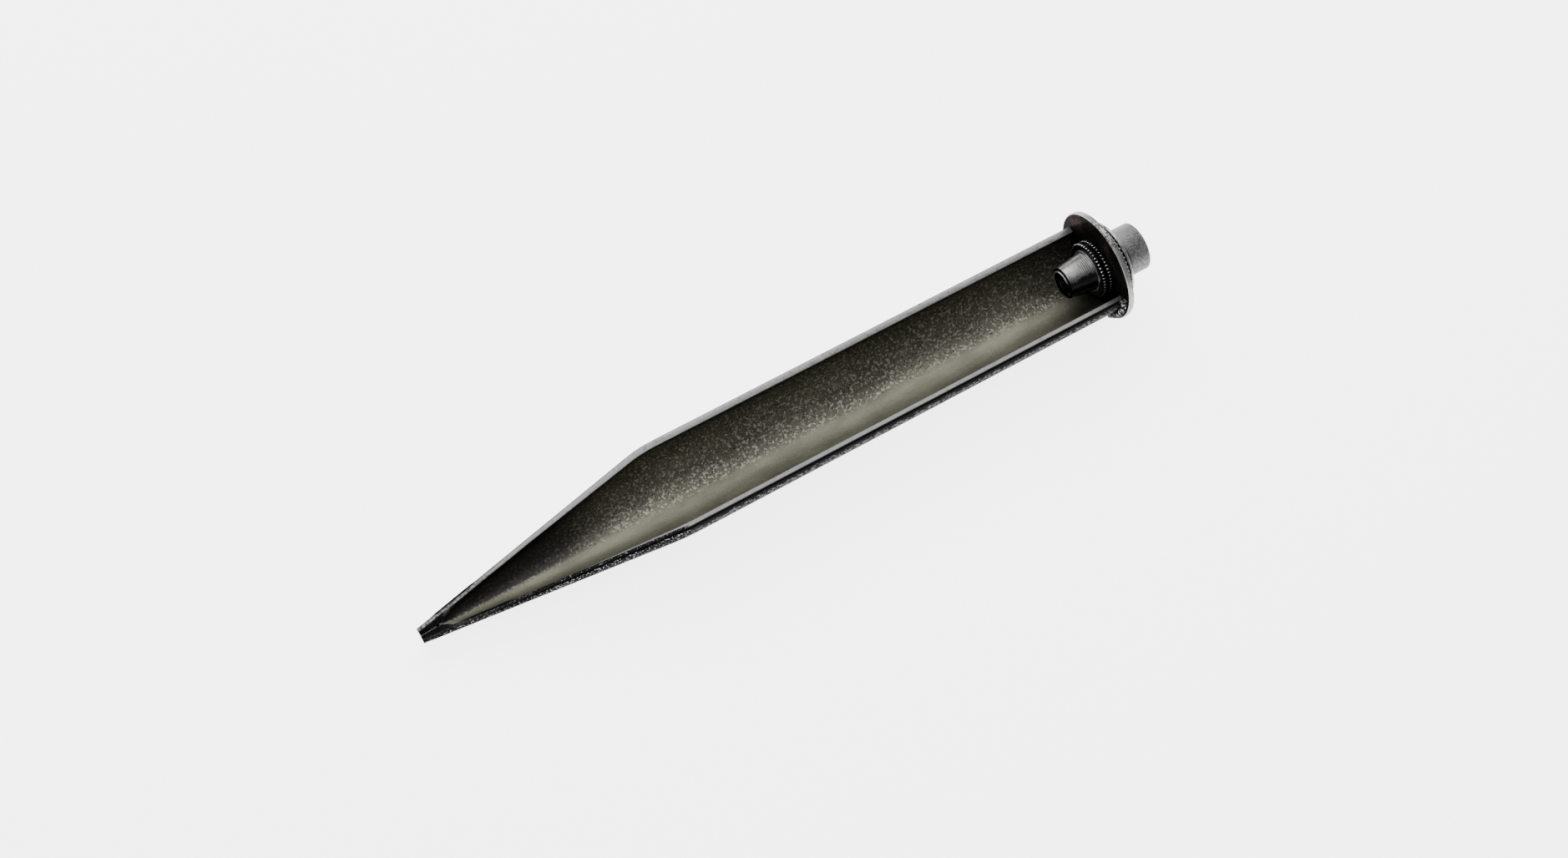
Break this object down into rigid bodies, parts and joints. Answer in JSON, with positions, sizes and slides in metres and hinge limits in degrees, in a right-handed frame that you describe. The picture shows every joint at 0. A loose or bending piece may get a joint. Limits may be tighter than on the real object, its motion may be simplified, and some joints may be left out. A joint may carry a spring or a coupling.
{
  "type": "post anchor spike",
  "caption": "Channel-section ground spike with a drawn point and a round top plate carrying a bolted spigot that a post slides over.",
  "frame": {"origin": "under the middle of the bounding box, on the surface the part lies on, keel down and open side up", "axes": "+X along the spike from the point to the spigot, +Z out of the open side, +Y completes the right-handed frame"},
  "size_m": [0.4264, 0.0618, 0.0619],
  "materials": {
    "shell": "dark passivated zinc on bent sheet, fine grain inside, semi-gloss",
    "plate": "dark passivated zinc, glossy flat face, lighter sheared rim",
    "weld": "lumpy as-welded bead under plating",
    "ring_bright": "turned, zinc grey",
    "ring_black": "black oxide, bright worn tooth tips",
    "nut": "turned, fine lathe rings",
    "stud": "rolled thread, zinc",
    "spigot": "dull grey zinc, mottled towards the lower end"
  },
  "bodies": {
    "spike": {"spike_shell": "shell", "top_plate": "plate", "weld_near_edge": "weld", "weld_keel": "weld", "weld_far_edge": "weld", "seat_ring": "ring_bright", "lower_washer": "ring_bright"},
    "spigot": {"top_lock_washer": "ring_black", "foot_collar": "ring_bright", "spigot": "spigot", "stud": "stud"},
    "lock_rings": {"inner_lock_washer_a": "ring_black", "inner_lock_spacer": "ring_black", "inner_lock_washer_b": "ring_black", "nut_washer": "ring_bright"},
    "nut": {"tapered_nut": "nut"}
  },
  "joints": [
    {"name": "spigot_swivel", "type": "hinge", "parent": "spike", "child": "spigot", "pos_m": [0.1928, 0, 0.03093], "axis": [1, 0, 0], "continuous": true},
    {"name": "nut_travel", "type": "slide", "parent": "spigot", "child": "lock_rings", "axis": [-1, 0, 0], "range_m": [0, 0.012]},
    {"name": "nut_turn", "type": "hinge", "parent": "lock_rings", "child": "nut", "pos_m": [0.1748, 0, 0.03093], "axis": [-1, 0, 0], "range_deg": [0, 2881]}
  ],
  "couplings": [
    {"joint": "nut_turn", "follows": "nut_travel", "rad_per_m": 4188.8}
  ]
}
